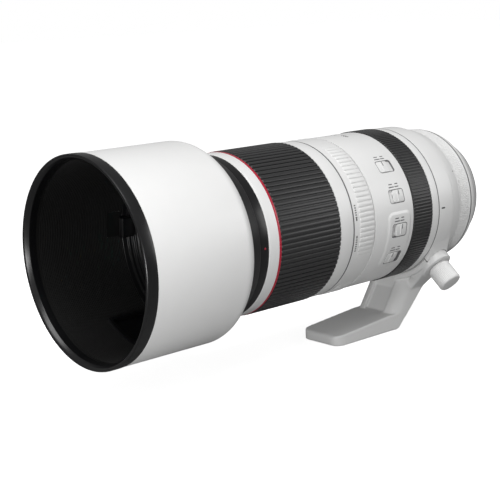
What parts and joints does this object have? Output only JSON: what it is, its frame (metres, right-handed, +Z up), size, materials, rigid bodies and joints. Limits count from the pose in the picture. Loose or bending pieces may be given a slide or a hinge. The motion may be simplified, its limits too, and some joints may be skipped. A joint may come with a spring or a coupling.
{
  "type": "telephoto zoom lens",
  "caption": "White telephoto zoom lens with ribbed grips, side switches, deep black-rimmed hood, rotating tripod collar, foot and locking knob.",
  "frame": {"origin": "middle of the lens mount's contact face, on the optical axis", "axes": "-Y towards the front of the lens, +Z up, +X towards the side with the switches"},
  "size_m": [0.1138, 0.2832, 0.1359],
  "materials": {
    "white_paint": "satin off-white paint with a fine texture",
    "white_plastic": "satin off-white paint on moulded plastic",
    "black_paint": "satin black",
    "grip_rubber": "ribbed matt rubber",
    "mount_steel": "turned bright metal",
    "inner_metal": "machined aluminium",
    "inner_black": "matt anti-reflection black",
    "red_line": "gloss red",
    "coated_glass": "coated optical glass",
    "contact_gold": "gold-plated",
    "board_green": "solder resist",
    "seal_rubber": "black seal rubber",
    "blade_metal": "blackened sheet"
  },
  "bodies": {
    "barrel": {"mount_ring": "mount_steel", "mount_screws": "mount_steel", "mount_gasket": "seal_rubber", "contact_block": "inner_black", "contact_pins": "contact_gold", "rear_baffle": "inner_black", "rear_housing": "white_paint", "main_barrel": "white_paint", "guide_barrel": "inner_metal", "main_board": "board_green", "focus_motors": "inner_metal", "iris_housing": "inner_black", "is_base": "inner_black", "rear_cell": "inner_black", "rear_lens": "coated_glass"},
    "zoom_ring": {"zoom_sleeve": "white_paint", "zoom_grip": "grip_rubber", "cam_barrel": "inner_metal"},
    "front_barrel": {"front_tube": "white_paint", "name_ring": "white_paint", "red_ring": "red_line", "front_ring": "black_paint", "front_cell": "inner_black", "front_elements": "coated_glass", "cam_followers": "contact_gold"},
    "variator": {"variator_cell": "inner_black", "variator_lens": "coated_glass"},
    "focus_group": {"focus_cell": "inner_black", "focus_lens": "coated_glass"},
    "focus_ring": {"focus_sleeve": "inner_black", "focus_grip": "grip_rubber"},
    "control_ring": {"control_ring": "white_paint"},
    "torque_ring": {"torque_ring": "white_plastic"},
    "limiter_switch": {"limiter_switch": "white_plastic"},
    "focus_mode_switch": {"focus_mode_switch": "white_plastic"},
    "stabiliser_switch": {"stabiliser_switch": "white_plastic"},
    "stabiliser_mode_switch": {"stabiliser_mode_switch": "white_plastic"},
    "tripod_collar": {"collar_ring": "white_paint", "tripod_foot": "white_paint", "foot_bushing": "mount_steel"},
    "lock_knob": {"lock_knob": "white_paint"},
    "hood": {"hood_shell": "white_plastic", "hood_rim": "black_paint", "hood_liner": "inner_black", "hood_collar": "black_paint"},
    "hood_button": {"hood_button": "black_paint"},
    "hood_door": {"hood_door": "black_paint"},
    "iris_ring": {"iris_ring": "inner_metal"},
    "is_carriage": {"is_carriage": "inner_metal"},
    "is_cell": {"is_cell": "inner_black", "is_lens": "coated_glass"},
    "iris_blade_1": {"iris_blade_1": "blade_metal"},
    "iris_blade_2": {"iris_blade_2": "blade_metal"},
    "iris_blade_3": {"iris_blade_3": "blade_metal"},
    "iris_blade_4": {"iris_blade_4": "blade_metal"},
    "iris_blade_5": {"iris_blade_5": "blade_metal"},
    "iris_blade_6": {"iris_blade_6": "blade_metal"},
    "iris_blade_7": {"iris_blade_7": "blade_metal"},
    "iris_blade_8": {"iris_blade_8": "blade_metal"},
    "iris_blade_9": {"iris_blade_9": "blade_metal"}
  },
  "joints": [
    {"name": "zoom_turn", "type": "hinge", "parent": "barrel", "child": "zoom_ring", "pos_m": [0, 0, 0], "axis": [0, -1, 0], "range_deg": [0, 90]},
    {"name": "front_slide", "type": "slide", "parent": "barrel", "child": "front_barrel", "axis": [0, -1, 0], "range_m": [0, 0.083]},
    {"name": "variator_slide", "type": "slide", "parent": "barrel", "child": "variator", "axis": [0, -1, 0], "range_m": [0, 0.04]},
    {"name": "focus_slide", "type": "slide", "parent": "barrel", "child": "focus_group", "axis": [0, -1, 0], "range_m": [0, 0.012]},
    {"name": "focus_turn", "type": "hinge", "parent": "barrel", "child": "focus_ring", "pos_m": [0, 0, 0], "axis": [0, -1, 0], "continuous": true},
    {"name": "control_turn", "type": "hinge", "parent": "barrel", "child": "control_ring", "pos_m": [0, 0, 0], "axis": [0, -1, 0], "continuous": true},
    {"name": "torque_turn", "type": "hinge", "parent": "barrel", "child": "torque_ring", "pos_m": [0, 0, 0], "axis": [0, -1, 0], "range_deg": [-30, 30]},
    {"name": "limiter_slide", "type": "slide", "parent": "barrel", "child": "limiter_switch", "axis": [0, -1, 0], "range_m": [-0.003, 0]},
    {"name": "focus_mode_slide", "type": "slide", "parent": "barrel", "child": "focus_mode_switch", "axis": [0, -1, 0], "range_m": [0, 0.003]},
    {"name": "stabiliser_slide", "type": "slide", "parent": "barrel", "child": "stabiliser_switch", "axis": [0, -1, 0], "range_m": [0, 0.003]},
    {"name": "stabiliser_mode_slide", "type": "slide", "parent": "barrel", "child": "stabiliser_mode_switch", "axis": [0, -1, 0], "range_m": [-0.003, 0]},
    {"name": "collar_turn", "type": "hinge", "parent": "barrel", "child": "tripod_collar", "pos_m": [0, 0, 0], "axis": [0, -1, 0], "continuous": true},
    {"name": "knob_turn", "type": "hinge", "parent": "tripod_collar", "child": "lock_knob", "pos_m": [0.03373, -0.0396, -0.03741], "axis": [0.7547, 0, -0.6561], "range_deg": [0, 180]},
    {"name": "hood_twist", "type": "hinge", "parent": "front_barrel", "child": "hood", "pos_m": [0, 0, 0], "axis": [0, -1, 0], "range_deg": [0, 50]},
    {"name": "hood_button_press", "type": "slide", "parent": "hood", "child": "hood_button", "axis": [0.9945, 0, -0.1045], "range_m": [0, 0.0012], "stiffness_N_per_m": 800},
    {"name": "hood_door_slide", "type": "hinge", "parent": "hood", "child": "hood_door", "pos_m": [0, 0, 0], "axis": [0, -1, 0], "range_deg": [0, 27]},
    {"name": "iris_turn", "type": "hinge", "parent": "barrel", "child": "iris_ring", "pos_m": [0, 0, 0], "axis": [0, -1, 0], "range_deg": [0, 30]},
    {"name": "iris_blade_1_turn", "type": "hinge", "parent": "barrel", "child": "iris_blade_1", "pos_m": [0, -0.077, 0.033], "axis": [0, -1, 0], "range_deg": [-33, 0]},
    {"name": "iris_blade_2_turn", "type": "hinge", "parent": "barrel", "child": "iris_blade_2", "pos_m": [0.02121, -0.077, 0.02528], "axis": [0, -1, 0], "range_deg": [-33, 0]},
    {"name": "iris_blade_3_turn", "type": "hinge", "parent": "barrel", "child": "iris_blade_3", "pos_m": [0.0325, -0.077, 0.00573], "axis": [0, -1, 0], "range_deg": [-33, 0]},
    {"name": "iris_blade_4_turn", "type": "hinge", "parent": "barrel", "child": "iris_blade_4", "pos_m": [0.02858, -0.077, -0.0165], "axis": [0, -1, 0], "range_deg": [-33, 0]},
    {"name": "iris_blade_5_turn", "type": "hinge", "parent": "barrel", "child": "iris_blade_5", "pos_m": [0.01129, -0.077, -0.03101], "axis": [0, -1, 0], "range_deg": [-33, 0]},
    {"name": "iris_blade_6_turn", "type": "hinge", "parent": "barrel", "child": "iris_blade_6", "pos_m": [-0.01129, -0.077, -0.03101], "axis": [0, -1, 0], "range_deg": [-33, 0]},
    {"name": "iris_blade_7_turn", "type": "hinge", "parent": "barrel", "child": "iris_blade_7", "pos_m": [-0.02858, -0.077, -0.0165], "axis": [0, -1, 0], "range_deg": [-33, 0]},
    {"name": "iris_blade_8_turn", "type": "hinge", "parent": "barrel", "child": "iris_blade_8", "pos_m": [-0.0325, -0.077, 0.00573], "axis": [0, -1, 0], "range_deg": [-33, 0]},
    {"name": "iris_blade_9_turn", "type": "hinge", "parent": "barrel", "child": "iris_blade_9", "pos_m": [-0.02121, -0.077, 0.02528], "axis": [0, -1, 0], "range_deg": [-33, 0]},
    {"name": "is_shift_x", "type": "slide", "parent": "barrel", "child": "is_carriage", "axis": [1, 0, 0], "range_m": [-0.001, 0.001], "stiffness_N_per_m": 2000},
    {"name": "is_shift_z", "type": "slide", "parent": "is_carriage", "child": "is_cell", "axis": [0, 0, 1], "range_m": [-0.001, 0.001], "stiffness_N_per_m": 3000}
  ],
  "couplings": [
    {"joint": "front_slide", "follows": "zoom_turn", "m_per_rad": 0.052839},
    {"joint": "variator_slide", "follows": "zoom_turn", "m_per_rad": 0.025465},
    {"joint": "iris_blade_1_turn", "follows": "iris_turn", "ratio": -1.1},
    {"joint": "iris_blade_2_turn", "follows": "iris_turn", "ratio": -1.1},
    {"joint": "iris_blade_3_turn", "follows": "iris_turn", "ratio": -1.1},
    {"joint": "iris_blade_4_turn", "follows": "iris_turn", "ratio": -1.1},
    {"joint": "iris_blade_5_turn", "follows": "iris_turn", "ratio": -1.1},
    {"joint": "iris_blade_6_turn", "follows": "iris_turn", "ratio": -1.1},
    {"joint": "iris_blade_7_turn", "follows": "iris_turn", "ratio": -1.1},
    {"joint": "iris_blade_8_turn", "follows": "iris_turn", "ratio": -1.1},
    {"joint": "iris_blade_9_turn", "follows": "iris_turn", "ratio": -1.1}
  ]
}
